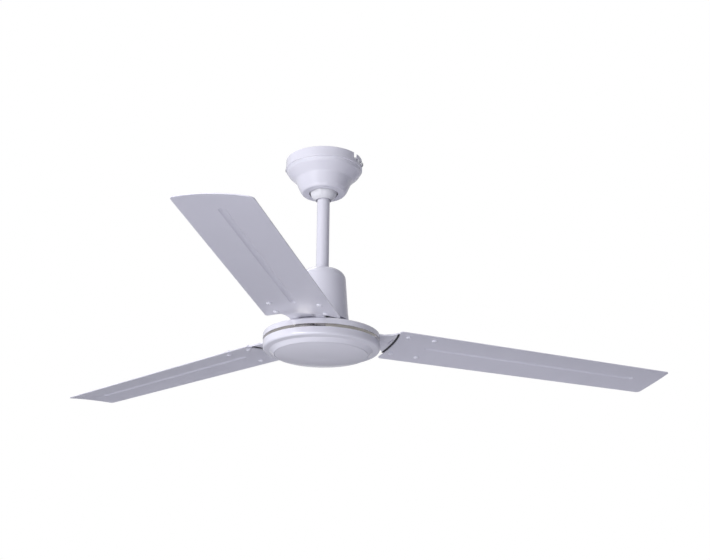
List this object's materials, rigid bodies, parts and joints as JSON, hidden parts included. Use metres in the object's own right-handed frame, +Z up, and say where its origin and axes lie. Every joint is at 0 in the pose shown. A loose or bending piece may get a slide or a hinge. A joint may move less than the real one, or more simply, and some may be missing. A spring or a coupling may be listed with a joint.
{
  "type": "ceiling fan",
  "caption": "White ceiling fan with pressed steel blades on a drum motor, hung from a ceiling bracket by a ball joint and downrod.",
  "frame": {"origin": "centre of the ceiling bracket's top face, on the fan's axis at the ceiling", "axes": "+Z up into the ceiling along the fan's axis; +X along the ceiling bracket and its two slots"},
  "size_m": [1.0627, 1.0368, 0.3455],
  "materials": {
    "zinc_steel": "zinc plated pressed steel",
    "black_plastic": "moulded, matt",
    "white_paint": "gloss white enamel",
    "screw_steel": "plated screw",
    "white_plastic": "moulded nylon",
    "ball_plastic": "gloss white moulding",
    "rod_paint": "gloss white enamel",
    "dark_iron": "blackened",
    "bright_steel": "ground",
    "lamination": "laminated steel",
    "copper_winding": "varnished copper wire",
    "housing_paint": "gloss white enamel",
    "trim_chrome": "bright band",
    "arm_paint": "gloss white enamel",
    "gasket_rubber": "thin sheet",
    "blade_paint": "gloss white enamel",
    "white_screw": "painted pan head"
  },
  "bodies": {
    "hanger": {"ceiling_bracket": "zinc_steel", "ball_seat_liner": "black_plastic", "canopy": "white_paint", "canopy_screws": "screw_steel", "terminal_block": "white_plastic"},
    "hanger_ball": {"hanger_ball": "ball_plastic", "ball_cross_pin": "zinc_steel"},
    "downrod": {"downrod": "rod_paint", "coupling": "dark_iron", "coupling_bolt": "zinc_steel", "coupling_clip": "zinc_steel", "coupling_set_screws": "dark_iron", "lower_canopy": "white_paint", "lower_canopy_collar": "zinc_steel", "lower_canopy_screws": "screw_steel", "capacitor": "black_plastic", "motor_shaft": "bright_steel", "stator_core": "lamination", "stator_winding": "copper_winding", "upper_bearing_inner": "bright_steel", "lower_bearing_inner": "bright_steel"},
    "rotor": {"upper_bearing_outer": "bright_steel", "lower_bearing_outer": "bright_steel", "rotor_cage": "lamination", "top_shell": "housing_paint", "trim_ring": "trim_chrome", "bottom_shell": "housing_paint", "shell_screws": "screw_steel", "blade_arm_1": "arm_paint", "arm_screws_1": "screw_steel", "blade_gasket_1": "gasket_rubber", "blade_1": "blade_paint", "blade_screws_1": "white_screw", "blade_arm_2": "arm_paint", "arm_screws_2": "screw_steel", "blade_gasket_2": "gasket_rubber", "blade_2": "blade_paint", "blade_screws_2": "white_screw", "blade_arm_3": "arm_paint", "arm_screws_3": "screw_steel", "blade_gasket_3": "gasket_rubber", "blade_3": "blade_paint", "blade_screws_3": "white_screw"}
  },
  "joints": [
    {"name": "ball_tilt", "type": "hinge", "parent": "hanger", "child": "hanger_ball", "pos_m": [0, 0, -0.053], "axis": [1, 0, 0], "range_deg": [-8, 8]},
    {"name": "rod_rock", "type": "hinge", "parent": "hanger_ball", "child": "downrod", "pos_m": [0, 0, -0.041], "axis": [0, 1, 0], "range_deg": [-3, 3]},
    {"name": "rotor_spin", "type": "hinge", "parent": "downrod", "child": "rotor", "pos_m": [0, 0, -0.3], "axis": [0, 0, 1], "continuous": true}
  ]
}
